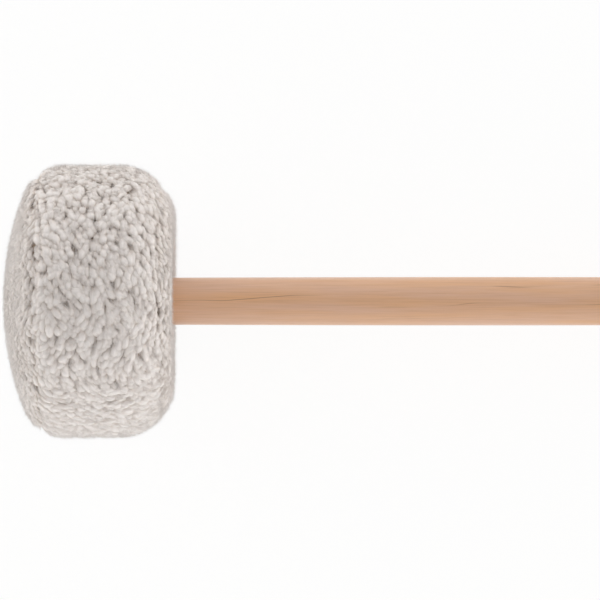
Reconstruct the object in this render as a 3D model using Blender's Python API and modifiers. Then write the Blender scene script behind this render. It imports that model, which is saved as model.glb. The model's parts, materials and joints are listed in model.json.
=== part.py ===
"""Gong mallet: a weighted, felt-padded and fleece-covered head on a turned wooden handle.

The mallet is built upright round its own Z axis, as on a lathe: Z = 0 is the core's handle
side, the head is above it and the handle below. An empty then lays it on a table, where it
rests on the rear corner of its head and on its butt. World X runs along the mallet towards
the butt, and the origin is on the table under the middle of its bounding box.
"""

import math

import bmesh
import bpy
from mathutils import Vector

# Fit between neighbours, and segments round the axis
FIT = 0.0003
STEPS = 48

# Handle
HANDLE_RADIUS = 0.0108
HANDLE_SWELL = 0.0003
HANDLE_LENGTH = 0.301
SWELL_STEPS = 8
BUTT_ROUND = 0.003
TENON_RADIUS = 0.008
TENON_CHAMFER = 0.001

# Core and its weight
CORE_RADIUS = 0.042
CORE_THICKNESS = 0.034
CORE_ROUND = 0.002
WEIGHT_RADIUS = 0.028
WEIGHT_THICKNESS = 0.0197
WEIGHT_CHAMFER = 0.001

# Clamp screw and washer
SCREW_RADIUS = 0.003
SCREW_LENGTH = 0.055
SCREW_POINT = 0.006
HEAD_RADIUS = 0.0056
HEAD_HEIGHT = 0.0038
HEAD_ROUND = 0.0014
SLOT_LENGTH = 0.0056
SLOT_WIDTH = 0.0013
SLOT_DEPTH = 0.0018
WASHER_RADIUS = 0.010
WASHER_THICKNESS = 0.0016

# Felt: its thicknesses, the dome of the striking face and the rounds of its outline
RIM_FELT = 0.0089
REAR_FELT = 0.0080
FRONT_FELT = 0.0050
DOME_FELT = 0.0085
DOME_EDGE = 0.0010
DOME_RADIUS = 0.1242
FRONT_CORNER = 0.0082
REAR_CORNER = 0.0152

# Fleece: backing and pile together, and where its panels meet
FLEECE = 0.0105
FRONT_SEAM = math.radians(37.6)
REAR_SEAM = math.radians(-50.0)
SIDE_SEAM_TURN = math.radians(123.75)
NECK_ROUND = 0.004

# Threads and the neck's cord
SEAM_THREAD = 0.0016
NECK_CORD = 0.0020
THREAD_SIDES = 6

# How deep the mallet's own weight presses the fleece flat where it lies
REST_FLAT = 0.0005

# Segments of the rounds, and how far a cutter passes the face that it cuts
DOME_STEPS = 4
CORNER_STEPS = 5
ROUND_STEPS = 3
OVERCUT = 0.001

# Heights and radii that follow from the sizes above
WEIGHT_BACK = CORE_THICKNESS - WEIGHT_THICKNESS
WEB = WEIGHT_BACK - FIT
SCREW_SEAT = CORE_THICKNESS - HEAD_HEIGHT
SCREW_TIP = SCREW_SEAT - SCREW_LENGTH
SCREW_HOLE = SCREW_RADIUS + FIT
WASHER_BACK = SCREW_SEAT - FIT - WASHER_THICKNESS
HANDLE_HOLE = HANDLE_RADIUS + FIT
RIM_RADIUS = CORE_RADIUS + FIT + RIM_FELT
REAR_FACE = -(FIT + REAR_FELT)
DOME_BASE = CORE_THICKNESS + FIT + FRONT_FELT + FIT
FLEECE_IN = FIT
FLEECE_OUT = FLEECE_IN + FLEECE
THREAD_TOP = FLEECE_IN + SEAM_THREAD + FIT
THREAD_DEPTH = FLEECE_IN + SEAM_THREAD / 2
THREAD_ROOM = SEAM_THREAD / 2 + FIT

# Centres of the outline's arcs, as (radius, height), and the angle where dome turns to corner
DOME_CENTRE = (0.0, DOME_BASE + DOME_FELT - DOME_RADIUS)
REAR_CENTRE = (RIM_RADIUS - REAR_CORNER, REAR_FACE + REAR_CORNER)
DOME_TO_CORNER = DOME_RADIUS - FRONT_CORNER
DOME_REACH = math.asin((RIM_RADIUS - FRONT_CORNER) / DOME_TO_CORNER)
FRONT_CENTRE = (
    RIM_RADIUS - FRONT_CORNER,
    DOME_CENTRE[1] + DOME_TO_CORNER * math.cos(DOME_REACH),
)
UP = math.pi / 2
CORNER_START = UP - DOME_REACH


def collection(name):
    """A new collection in the scene."""
    made = bpy.data.collections.new(name)
    bpy.context.scene.collection.children.link(made)
    return made


def linear(code):
    """A colour written as sRGB hex, as the linear values that a shader takes."""
    shares = [int(code[i : i + 2], 16) / 255 for i in (1, 3, 5)]
    return [s / 12.92 if s <= 0.04045 else ((s + 0.055) / 1.055) ** 2.4 for s in shares]


def dress(item, colour, roughness, metallic=0.0):
    """Gives an object a Principled material of its own."""
    material = bpy.data.materials.new(item.name)
    material.use_nodes = True
    shader = material.node_tree.nodes["Principled BSDF"]
    shader.inputs["Base Color"].default_value = (*linear(colour), 1.0)
    shader.inputs["Roughness"].default_value = roughness
    shader.inputs["Metallic"].default_value = metallic
    item.data.materials.clear()
    item.data.materials.append(material)
    return item


def made_mesh(item, group):
    """Puts a welded mesh object in the place of a curve, or of a mesh with modifiers."""
    bpy.context.view_layer.update()
    name, matrix = item.name, item.matrix_world.copy()
    seen = item.evaluated_get(bpy.context.evaluated_depsgraph_get())
    mesh = bpy.data.meshes.new_from_object(seen)
    bpy.data.objects.remove(item)
    form = bmesh.new()
    form.from_mesh(mesh)
    bmesh.ops.remove_doubles(form, verts=form.verts, dist=1e-6)
    form.to_mesh(mesh)
    form.free()
    made = bpy.data.objects.new(name, mesh)
    made.matrix_world = matrix
    group.objects.link(made)
    return made


def turned(name, outline, group, closed=False):
    """A turned piece: (radius, height) points, down the outside and back up, spun round Z.

    A closed outline makes a ring, and an open one starts and ends on the axis.
    """
    points = [(radius, 0.0, height) for radius, height in outline]
    edges = [(i, i + 1) for i in range(len(points) - 1)]
    if closed:
        edges.append((len(points) - 1, 0))
    mesh = bpy.data.meshes.new(name)
    mesh.from_pydata(points, edges, [])
    item = bpy.data.objects.new(name, mesh)
    group.objects.link(item)
    screw = item.modifiers.new("Turn", "SCREW")
    screw.axis = "Z"
    screw.angle = math.tau
    screw.steps = STEPS
    screw.render_steps = STEPS
    screw.use_merge_vertices = True
    screw.merge_threshold = 0.00001
    item = made_mesh(item, group)
    item.data.shade_smooth()
    item.data.set_sharp_from_angle(angle=math.radians(35))
    return item


def ring(name, centre, thickness, group):
    """A thread or cord that runs once round the axis; centre is its (radius, height)."""
    bpy.ops.mesh.primitive_torus_add(
        major_radius=centre[0],
        minor_radius=thickness / 2,
        major_segments=STEPS,
        minor_segments=THREAD_SIDES,
        location=(0.0, 0.0, centre[1]),
    )
    item = bpy.context.active_object
    item.name = name
    item.data.shade_smooth()
    for old in list(item.users_collection):
        old.objects.unlink(item)
    group.objects.link(item)
    return item


def drawn(name, points, dimensions, group):
    """A curve through (radius, height) points, in the plane of the band's closing seam."""
    curve = bpy.data.curves.new(name, "CURVE")
    curve.dimensions = dimensions
    spline = curve.splines.new("POLY")
    spline.points.add(len(points) - 1)
    for point, (radius, height) in zip(spline.points, points):
        point.co = (radius, height, 0.0, 1.0)
    item = bpy.data.objects.new(name, curve)
    item.rotation_euler = (UP, 0.0, SIDE_SEAM_TURN)
    group.objects.link(item)
    return item


def plate(name, outline, thickness, group):
    """A flat plate on a closed outline, in the plane of the band's closing seam."""
    item = drawn(name, outline, "2D", group)
    item.data.splines[0].use_cyclic_u = True
    item.data.fill_mode = "BOTH"
    item.data.extrude = thickness / 2
    return made_mesh(item, group)


def block(name, size, location, group):
    """A box of the given size, centred at a location."""
    mesh = bpy.data.meshes.new(name)
    form = bmesh.new()
    bmesh.ops.create_cube(form, size=1.0)
    bmesh.ops.scale(form, vec=Vector(size), verts=form.verts)
    form.to_mesh(mesh)
    form.free()
    item = bpy.data.objects.new(name, mesh)
    item.location = location
    group.objects.link(item)
    return item


def cut(item, tool):
    """Takes a cutter's shape out of an object."""
    change = item.modifiers.new(tool.name, "BOOLEAN")
    change.operation = "DIFFERENCE"
    change.solver = "EXACT"
    change.object = tool
    tool.hide_render = True
    tool.display_type = "WIRE"


def on_arc(centre, radius, angle):
    """The (radius, height) of a point on an arc. Angle 0 points outwards, and UP to the front."""
    return (centre[0] + radius * math.cos(angle), centre[1] + radius * math.sin(angle))


def arc(centre, radius, start, stop, steps):
    """Points on an arc from one angle to another."""
    return [on_arc(centre, radius, start + (stop - start) * i / steps) for i in range(steps + 1)]


def dome(offset):
    """The striking face's dome at a distance outside the felt, from the axis to the corner."""
    return arc(DOME_CENTRE, DOME_RADIUS + offset, UP, CORNER_START, DOME_STEPS)


def front_corner(offset, start, stop):
    """The round between dome and rim at a distance outside the felt."""
    return arc(FRONT_CENTRE, FRONT_CORNER + offset, start, stop, CORNER_STEPS)


def rear_corner(offset, start, stop):
    """The round between rim and rear face at a distance outside the felt."""
    return arc(REAR_CENTRE, REAR_CORNER + offset, start, stop, CORNER_STEPS)


def felt_side(high, low):
    """The felt's outline between two heights, from the higher down to the lower."""
    whole = dome(0.0) + front_corner(0.0, CORNER_START, 0.0)[1:] + rear_corner(0.0, 0.0, -UP)

    def radius_at(height):
        for (r0, z0), (r1, z1) in zip(whole, whole[1:]):
            if z1 <= height <= z0:
                return r0 + (r1 - r0) * (z0 - height) / (z0 - z1)
        return whole[0][0] if height > whole[0][1] else whole[-1][0]

    between = [p for p in whole if low + OVERCUT / 10 < p[1] < high - OVERCUT / 10]
    return [(radius_at(high), high)] + between + [(radius_at(low), low)]


def handle_radius(height):
    """The handle's radius at a height: even inside the head, then one long slight swell."""
    start = REAR_FACE - FLEECE_OUT
    share = min(max((height - start) / (-HANDLE_LENGTH - start), 0.0), 1.0)
    return HANDLE_RADIUS + HANDLE_SWELL * math.sin(math.pi * share)


def make_handle(group):
    """Handle with its swell, its shoulder, its tenon and the blind pilot hole for the screw."""
    pilot = SCREW_TIP - FIT
    grip_start = REAR_FACE - FLEECE_OUT
    grip_end = BUTT_ROUND - HANDLE_LENGTH
    outline = [(0.0, pilot), (SCREW_HOLE, pilot), (SCREW_HOLE, WEB)]
    outline += [(TENON_RADIUS - TENON_CHAMFER, WEB), (TENON_RADIUS, WEB - TENON_CHAMFER)]
    outline += [(TENON_RADIUS, -FIT), (HANDLE_RADIUS, -FIT)]
    for step in range(SWELL_STEPS + 1):
        height = grip_start + (grip_end - grip_start) * step / SWELL_STEPS
        outline.append((handle_radius(height), height))
    butt = (handle_radius(grip_end) - BUTT_ROUND, grip_end)
    outline += arc(butt, BUTT_ROUND, 0.0, -UP, ROUND_STEPS)[1:]
    outline += [(0.0, -HANDLE_LENGTH)]
    return dress(turned("handle", outline, group), "#CBA489", 0.38)


def make_core(group):
    """Core with rounded edges, the tenon's bore and the weight's recess in front."""
    inner = CORE_RADIUS - CORE_ROUND
    bore = TENON_RADIUS + FIT
    recess = WEIGHT_RADIUS + FIT
    outline = arc((inner, CORE_THICKNESS - CORE_ROUND), CORE_ROUND, UP, 0.0, ROUND_STEPS)
    outline += arc((inner, CORE_ROUND), CORE_ROUND, 0.0, -UP, ROUND_STEPS)
    outline += [(bore, 0.0), (bore, WEB), (recess, WEB), (recess, CORE_THICKNESS)]
    return dress(turned("core_drum", outline, group, closed=True), "#C49A72", 0.6)


def make_weight(group):
    """Steel disc in the core's recess, flush with the core, with a pocket for the screw's head."""
    edge = WEIGHT_RADIUS - WEIGHT_CHAMFER
    pocket = WASHER_RADIUS + FIT
    floor = WASHER_BACK - FIT
    outline = [(edge, CORE_THICKNESS), (WEIGHT_RADIUS, CORE_THICKNESS - WEIGHT_CHAMFER)]
    outline += [(WEIGHT_RADIUS, WEIGHT_BACK + WEIGHT_CHAMFER), (edge, WEIGHT_BACK)]
    outline += [(SCREW_HOLE, WEIGHT_BACK), (SCREW_HOLE, floor)]
    outline += [(pocket, floor), (pocket, CORE_THICKNESS)]
    return dress(turned("steel_weight", outline, group, closed=True), "#8D9196", 0.45, 1.0)


def make_washer(group):
    """Washer under the screw's head, on the floor of the weight's pocket."""
    top = WASHER_BACK + WASHER_THICKNESS
    outline = [(WASHER_RADIUS, top), (WASHER_RADIUS, WASHER_BACK)]
    outline += [(SCREW_HOLE, WASHER_BACK), (SCREW_HOLE, top)]
    return dress(turned("clamp_washer", outline, group, closed=True), "#A9ADB2", 0.3, 1.0)


def make_screw(group, cutters):
    """Pan-head screw with a pointed shank and a cross recess in its head."""
    crown = (HEAD_RADIUS - HEAD_ROUND, CORE_THICKNESS - HEAD_ROUND)
    outline = [(0.0, CORE_THICKNESS)] + arc(crown, HEAD_ROUND, UP, 0.0, ROUND_STEPS)
    outline += [(HEAD_RADIUS, SCREW_SEAT), (SCREW_RADIUS, SCREW_SEAT)]
    outline += [(SCREW_RADIUS, SCREW_TIP + SCREW_POINT), (0.0, SCREW_TIP)]
    item = turned("clamp_screw", outline, group)
    for name, turn in (("recess_along", 0.0), ("recess_across", UP)):
        size = (SLOT_LENGTH, SLOT_WIDTH, 2 * SLOT_DEPTH)
        slot = block(name, size, (0.0, 0.0, CORE_THICKNESS), cutters)
        slot.rotation_euler = (0.0, 0.0, turn + math.pi / STEPS)
        cut(item, slot)
    return dress(item, "#B4B7BB", 0.25, 1.0)


def make_felts(group):
    """The four felts: strip round the rim, ring behind, firm disc and soft dome in front."""
    hold = CORE_RADIUS + FIT
    rim = felt_side(CORE_THICKNESS, 0.0) + [(hold, 0.0), (hold, CORE_THICKNESS)]
    rear = felt_side(-FIT, REAR_FACE) + [(HANDLE_HOLE, REAR_FACE), (HANDLE_HOLE, -FIT)]
    low, high = CORE_THICKNESS + FIT, CORE_THICKNESS + FIT + FRONT_FELT
    front = [(0.0, high)] + felt_side(high, low) + [(0.0, low)]
    pad = felt_side(DOME_BASE + DOME_FELT, DOME_BASE + DOME_EDGE)
    pad += [(pad[-1][0], DOME_BASE), (0.0, DOME_BASE)]
    made = [
        turned("rim_felt", rim, group, closed=True),
        turned("rear_felt", rear, group, closed=True),
        turned("front_felt", front, group),
        turned("front_dome_felt", pad, group),
    ]
    return [dress(item, "#D9D2C6", 0.95) for item in made]


def seam_angles(seam, corner, side):
    """Where a panel's edge and its wall of the thread's channel lie on a corner.

    side is +1 for the panel in front of the seam and -1 for the one behind it.
    """
    inner = corner + FLEECE_IN
    return seam + side * FIT / (2 * inner), seam + side * THREAD_ROOM / inner


def make_front_panel(group):
    """Round fleece panel: it follows the dome and turns down over the front corner."""
    edge, wall = seam_angles(FRONT_SEAM, FRONT_CORNER, 1)
    outline = dome(FLEECE_OUT) + front_corner(FLEECE_OUT, CORNER_START, edge)[1:]
    outline += [on_arc(FRONT_CENTRE, FRONT_CORNER + THREAD_TOP, a) for a in (edge, wall)]
    outline += front_corner(FLEECE_IN, wall, CORNER_START)[:-1] + dome(FLEECE_IN)[::-1]
    return dress(turned("fleece_front_panel", outline, group), "#EFE8DF", 1.0)


def make_side_band(group, cutters, table):
    """Fleece strip round the rim: slit where its ends meet, and pressed flat on the table."""
    front, front_wall = seam_angles(FRONT_SEAM, FRONT_CORNER, -1)
    rear, rear_wall = seam_angles(REAR_SEAM, REAR_CORNER, 1)
    outline = front_corner(FLEECE_OUT, front, 0.0) + rear_corner(FLEECE_OUT, 0.0, rear)
    outline += [on_arc(REAR_CENTRE, REAR_CORNER + THREAD_TOP, a) for a in (rear, rear_wall)]
    outline += rear_corner(FLEECE_IN, rear_wall, 0.0) + front_corner(FLEECE_IN, 0.0, front_wall)
    outline += [on_arc(FRONT_CENTRE, FRONT_CORNER + THREAD_TOP, a) for a in (front_wall, front)]
    item = turned("fleece_side_band", outline, group, closed=True)

    inside = band_route(0.0, FRONT_SEAM, REAR_SEAM)[::-1]
    slit = band_route(FLEECE_OUT + OVERCUT, FRONT_SEAM, REAR_SEAM) + inside
    channel = band_route(THREAD_TOP, FRONT_SEAM, REAR_SEAM) + inside
    cut(item, plate("band_slit", slit, FIT, cutters))
    cut(item, plate("band_channel", channel, 2 * THREAD_ROOM, cutters))
    cut(item, table)
    return dress(item, "#EFE8DF", 1.0)


def band_route(offset, front, rear):
    """Points across the band from one seam to the other, at a distance outside the felt."""
    return front_corner(offset, front, 0.0) + rear_corner(offset, 0.0, rear)


def make_rear_panel(group):
    """Fleece ring behind the head: rounded in at the handle, with the cord's hollow in its hem."""
    edge, wall = seam_angles(REAR_SEAM, REAR_CORNER, -1)
    neck = (HANDLE_HOLE + NECK_ROUND, REAR_FACE - FLEECE_OUT + NECK_ROUND)
    hem_radius = HANDLE_HOLE + NECK_CORD + FIT
    hem_height = REAR_FACE - FLEECE_IN - NECK_CORD - FIT
    outline = rear_corner(FLEECE_OUT, edge, -UP) + arc(neck, NECK_ROUND, -UP, -2 * UP, ROUND_STEPS)
    outline += [(HANDLE_HOLE, hem_height), (hem_radius, hem_height)]
    outline += [(hem_radius, REAR_FACE - FLEECE_IN)] + rear_corner(FLEECE_IN, -UP, wall)
    outline += [on_arc(REAR_CENTRE, REAR_CORNER + THREAD_TOP, a) for a in (wall, edge)]
    return dress(turned("fleece_rear_panel", outline, group, closed=True), "#EFE8DF", 1.0)


def make_threads(group):
    """The two seams that run round the head, and the one that closes the band."""
    centre = on_arc(FRONT_CENTRE, FRONT_CORNER + THREAD_DEPTH, FRONT_SEAM)
    front = ring("front_seam_thread", centre, SEAM_THREAD, group)
    centre = on_arc(REAR_CENTRE, REAR_CORNER + THREAD_DEPTH, REAR_SEAM)
    rear = ring("rear_seam_thread", centre, SEAM_THREAD, group)
    front_end = FRONT_SEAM - THREAD_ROOM / (FRONT_CORNER + FLEECE_IN)
    rear_end = REAR_SEAM + THREAD_ROOM / (REAR_CORNER + FLEECE_IN)
    route = band_route(THREAD_DEPTH, front_end, rear_end)
    side = drawn("side_seam_thread", route, "3D", group)
    side.data.bevel_depth = SEAM_THREAD / 2
    side.data.bevel_resolution = 2
    side.data.use_fill_caps = True
    return [dress(item, "#E9E3D8", 0.8) for item in (front, rear, side)]


def make_neck_cord(group):
    """Cord in the rear panel's hem, which draws the fleece to the handle."""
    centre = (HANDLE_HOLE + NECK_CORD / 2, REAR_FACE - FLEECE_IN - NECK_CORD / 2)
    return dress(ring("neck_cord", centre, NECK_CORD, group), "#DDD5C7", 0.85)


def lay_down():
    """The mallet's lean as it lies, and the world X and Z where its axis crosses its Z = 0.

    The rear corner, pressed in by the flat, and the butt's round both touch the table.
    """
    butt_radius = handle_radius(BUTT_ROUND - HANDLE_LENGTH) - BUTT_ROUND
    butt_reach = HANDLE_LENGTH - BUTT_ROUND
    along = REAR_CENTRE[1] + butt_reach
    across = REAR_CENTRE[0] - butt_radius
    rise = REAR_CORNER + FLEECE_OUT - REST_FLAT - BUTT_ROUND
    lean = math.atan2(across, along) + math.asin(rise / math.hypot(along, across))
    height = BUTT_ROUND + butt_radius * math.cos(lean) + butt_reach * math.sin(lean)
    nose = DOME_CENTRE[1] * math.cos(lean) + DOME_RADIUS + FLEECE_OUT
    tail = butt_radius * math.sin(lean) + butt_reach * math.cos(lean) + BUTT_ROUND
    return lean, (nose - tail) / 2, height


def main():
    """Builds the mallet upright and lays it on the table."""
    for item in list(bpy.data.objects):
        bpy.data.objects.remove(item)
    mallet = collection("gong_mallet")
    cutters = collection("cutters")
    lean, along, height = lay_down()
    reach = 2 * (RIM_RADIUS + FLEECE_OUT)
    table = block("table_top", (reach, reach, reach), (along, 0.0, -reach / 2), cutters)

    parts = [make_handle(mallet), make_core(mallet), make_weight(mallet), make_washer(mallet)]
    parts += [make_screw(mallet, cutters)] + make_felts(mallet)
    parts += [make_front_panel(mallet), make_side_band(mallet, cutters, table)]
    parts += [make_rear_panel(mallet)] + make_threads(mallet) + [make_neck_cord(mallet)]

    axis = bpy.data.objects.new("mallet_axis", None)
    axis.location = (along, 0.0, height)
    axis.rotation_euler = (0.0, lean - UP, 0.0)
    mallet.objects.link(axis)
    for item in parts + [tool for tool in cutters.objects if tool is not table]:
        item.parent = axis


main()
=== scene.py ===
"""The looks of a gong mallet that lies at rest: a fleece head on a lacquered maple handle.

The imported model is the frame. Its handle and its three fleece panels are replaced by finer
pieces, worked out here as whole numpy arrays. Every other node keeps its solid and gets the
finish of its real material. Lengths are in metres.
"""

import json
import logging
import math
from dataclasses import dataclass, field
from enum import Enum
from typing import Any

import bpy
import numpy as np
from mathutils import Matrix, Vector


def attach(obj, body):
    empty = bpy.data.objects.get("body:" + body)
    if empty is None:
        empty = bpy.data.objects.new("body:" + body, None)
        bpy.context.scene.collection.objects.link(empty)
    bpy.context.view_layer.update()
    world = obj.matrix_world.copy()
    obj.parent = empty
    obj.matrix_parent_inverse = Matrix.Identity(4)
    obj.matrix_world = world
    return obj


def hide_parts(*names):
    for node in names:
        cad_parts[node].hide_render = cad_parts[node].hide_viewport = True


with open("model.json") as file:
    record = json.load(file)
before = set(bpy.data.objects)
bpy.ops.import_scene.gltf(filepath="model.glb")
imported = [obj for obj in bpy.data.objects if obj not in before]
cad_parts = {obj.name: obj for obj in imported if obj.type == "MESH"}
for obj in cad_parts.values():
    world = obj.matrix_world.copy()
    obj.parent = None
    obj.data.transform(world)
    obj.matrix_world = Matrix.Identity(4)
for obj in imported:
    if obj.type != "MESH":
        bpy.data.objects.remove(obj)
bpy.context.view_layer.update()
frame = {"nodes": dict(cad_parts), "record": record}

LOG = logging.getLogger("gong_mallet")
MM = 0.001
# In radians: the turns of a spiral with this step never line up
GOLDEN_ANGLE = 2.399963


class Slot(Enum):
    """The record's material slots."""

    MAPLE = "lacquered_maple"
    CORE_WOOD = "core_wood"
    STEEL = "raw_steel"
    ZINC = "zinc_plate"
    FELT = "wool_felt"
    FLEECE = "fleece"
    THREAD = "thread"


def linear(code: str) -> tuple[float, float, float, float]:
    """Turns a colour written as sRGB hex into the linear values that a shader takes.

    Args:
        code: the colour, such as "#D6AB8E".

    Returns:
        Red, green, blue and an alpha of 1.
    """
    shares = [int(code[i : i + 2], 16) / 255 for i in (1, 3, 5)]
    values = [s / 12.92 if s <= 0.04045 else ((s + 0.055) / 1.055) ** 2.4 for s in shares]
    return (values[0], values[1], values[2], 1.0)


def add(tree: bpy.types.NodeTree, kind: str, inputs: dict, **settings: Any) -> bpy.types.Node:
    """Adds a node with its settings and links.

    Args:
        tree: the node tree that it joins.
        kind: the node's type name.
        inputs: for each socket identifier, the socket that is linked to it or its plain value.
        **settings: the node's own settings.

    Returns:
        The new node.
    """
    node = tree.nodes.new(kind)
    for name, value in settings.items():
        setattr(node, name, value)
    sockets = {socket.identifier: socket for socket in node.inputs}
    for name, value in inputs.items():
        if isinstance(value, bpy.types.NodeSocket):
            tree.links.new(value, sockets[name])
        else:
            sockets[name].default_value = value
    return node


def smooth(value: np.ndarray, low: float, high: float) -> np.ndarray:
    """A soft step from 0 at low to 1 at high: 3t squared less 2t cubed."""
    share = np.clip((value - low) / (high - low), 0.0, 1.0)
    return share * share * (3.0 - 2.0 * share)


def unit(vectors: np.ndarray) -> np.ndarray:
    """Each row at length 1."""
    return vectors / np.maximum(np.linalg.norm(vectors, axis=-1, keepdims=True), 1e-9)


@dataclass(frozen=True)
class MalletFrame:
    """The mallet's own axes as it lies: X faces up, Y lies across and Z runs to the head.

    Attributes:
        butt: the middle of the butt's end face.
        axis: the direction from the head to the butt.
        butt_height: the butt's place on the mallet's Z, whose 0 is the core's handle side.
    """

    butt: np.ndarray
    axis: np.ndarray
    butt_height: float = -0.301

    @classmethod
    def from_record(cls, record: dict) -> "MalletFrame":
        """Reads the butt's place and the axis from the record's mount."""
        mount = next(m for m in record["mounts"] if m["name"] == "butt_face")
        return cls(np.array(mount["pos_m"], float), unit(np.array(mount["axis"], float)))

    @property
    def turn(self) -> np.ndarray:
        """The three axes as rows, in world coordinates."""
        across = np.array([0.0, 1.0, 0.0])
        return np.array([np.cross(across, -self.axis), across, -self.axis])

    @property
    def origin(self) -> np.ndarray:
        """The world point of the mallet's own zero."""
        return self.butt + self.axis * self.butt_height

    def place(self, points: np.ndarray) -> np.ndarray:
        """World points of points in the mallet's own axes."""
        return self.origin + points @ self.turn


@dataclass
class MeshData:
    """Vertices, faces and point attributes, as whole arrays.

    Attributes:
        points: vertices, one row each.
        quads: four-sided faces.
        tris: three-sided faces.
        values: one number for each vertex, by attribute name.
        vectors: one vector for each vertex, by attribute name.
    """

    points: np.ndarray
    quads: np.ndarray
    tris: np.ndarray
    values: dict[str, np.ndarray] = field(default_factory=dict)
    vectors: dict[str, np.ndarray] = field(default_factory=dict)

    @classmethod
    def joined(cls, parts: list["MeshData"]) -> "MeshData":
        """Puts several meshes into one, as loose bodies.

        Args:
            parts: the meshes, which all carry the same attributes.

        Returns:
            One mesh, with the faces' numbers moved on past the vertices before them.
        """
        starts = np.cumsum([0] + [len(p.points) for p in parts[:-1]])
        return cls(
            np.concatenate([p.points for p in parts]),
            np.concatenate([p.quads + start for p, start in zip(parts, starts)]),
            np.concatenate([p.tris + start for p, start in zip(parts, starts)]),
            {name: np.concatenate([p.values[name] for p in parts]) for name in parts[0].values},
            {name: np.concatenate([p.vectors[name] for p in parts]) for name in parts[0].vectors},
        )

    def put(self, name: str, material: bpy.types.Material) -> bpy.types.Object:
        """Makes the mesh object, shaded smooth.

        Args:
            name: the piece's name.
            material: its finish.

        Returns:
            The new object, linked to the scene.
        """
        mesh = bpy.data.meshes.new(name)
        sizes = np.concatenate([np.full(len(self.quads), 4), np.full(len(self.tris), 3)])
        corners = np.concatenate([self.quads.ravel(), self.tris.ravel()])
        mesh.vertices.add(len(self.points))
        mesh.vertices.foreach_set("co", self.points.astype(np.float32).ravel())
        mesh.loops.add(len(corners))
        mesh.loops.foreach_set("vertex_index", corners.astype(np.int32))
        mesh.polygons.add(len(sizes))
        starts = np.concatenate([[0], np.cumsum(sizes)[:-1]])
        mesh.polygons.foreach_set("loop_start", starts.astype(np.int32))
        mesh.polygons.foreach_set("use_smooth", np.ones(len(sizes), bool))
        mesh.update(calc_edges=True)
        for key, values in self.values.items():
            made = mesh.attributes.new(key, "FLOAT", "POINT")
            made.data.foreach_set("value", values.astype(np.float32))
        for key, vectors in self.vectors.items():
            made = mesh.attributes.new(key, "FLOAT_VECTOR", "POINT")
            made.data.foreach_set("vector", vectors.astype(np.float32).ravel())
        mesh.materials.append(material)
        item = bpy.data.objects.new(name, mesh)
        bpy.context.scene.collection.objects.link(item)
        return item


def revolved(profile: np.ndarray, steps: int, closed: bool) -> MeshData:
    """A turned solid: each (radius, height) point of a profile is carried round the Z axis.

    A point at radius r, height z and turn a lies at (r cos a, r sin a, z). The profile runs
    from the front down the outside, so the faces point outwards.

    Args:
        profile: the points; an open profile starts and ends on the axis.
        steps: how many faces go round.
        closed: whether the profile is a loop that stays clear of the axis.

    Returns:
        The mesh in the mallet's own axes.
    """
    turn = np.arange(steps) * (math.tau / steps)
    rows = profile if closed else profile[1:-1]
    grid = np.stack(
        [
            rows[:, :1] * np.cos(turn),
            rows[:, :1] * np.sin(turn),
            np.repeat(rows[:, 1:], steps, axis=1),
        ],
        axis=-1,
    ).reshape(-1, 3)
    row = np.arange(len(rows) if closed else len(rows) - 1)[:, None]
    here = np.arange(steps)[None, :]
    after = (here + 1) % steps
    under = (row + 1) % len(rows)
    corners = [row * steps + here, under * steps + here, under * steps + after, row * steps + after]
    quads = np.stack(np.broadcast_arrays(*corners), axis=-1).reshape(-1, 4)
    if closed:
        return MeshData(grid, quads, np.zeros((0, 3), int))
    ends = np.array([[0.0, 0.0, profile[0, 1]], [0.0, 0.0, profile[-1, 1]]])
    first, last = len(grid), len(grid) + 1
    here, after = here[0], after[0]
    low = (len(rows) - 1) * steps
    front = np.stack([np.full(steps, first), here, after], axis=-1)
    rear = np.stack([np.full(steps, last), low + after, low + here], axis=-1)
    return MeshData(np.concatenate([grid, ends]), quads, np.concatenate([front, rear]))


def tapers(
    spine: np.ndarray, wide: np.ndarray, deep: np.ndarray, side: np.ndarray, up: np.ndarray, sides: int
) -> MeshData:
    """Many closed lobes at once, each a ring carried along a spine and drawn to a point at both ends.

    Ring j of a lobe has its points at spine j + wide j cos a * side + deep j sin a * up.

    Args:
        spine: for each lobe, the root, the rings' centres and the tip.
        wide: half widths of the rings along side.
        deep: half widths of the rings along up.
        side: for each lobe, the direction across it.
        up: for each lobe, the direction away from the ground; side x up points to the tip.
        sides: points on a ring.

    Returns:
        The lobes as one mesh, vertices lobe by lobe: root, rings, tip.
    """
    count, rings = wide.shape
    turn = np.arange(sides) * (math.tau / sides)
    across = wide[:, :, None, None] * np.cos(turn)[None, None, :, None] * side[:, None, None, :]
    above = deep[:, :, None, None] * np.sin(turn)[None, None, :, None] * up[:, None, None, :]
    body = (spine[:, 1:-1, None, :] + across + above).reshape(count, rings * sides, 3)
    points = np.concatenate([spine[:, :1], body, spine[:, -1:]], axis=1)
    here = np.arange(sides)
    after = (here + 1) % sides
    ring = 1 + sides * np.arange(rings - 1)[:, None]
    corners = [ring + here, ring + after, ring + sides + after, ring + sides + here]
    quads = np.stack(corners, axis=-1).reshape(-1, 4)
    last = 1 + sides * (rings - 1)
    root = np.stack([np.zeros(sides, int), 1 + after, 1 + here], axis=-1)
    tip = np.stack([np.full(sides, last + sides), last + here, last + after], axis=-1)
    tris = np.concatenate([root, tip])
    starts = (np.arange(count) * points.shape[1])[:, None, None]
    return MeshData(
        points.reshape(-1, 3),
        (quads[None] + starts).reshape(-1, 4),
        (tris[None] + starts).reshape(-1, 3),
    )


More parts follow.
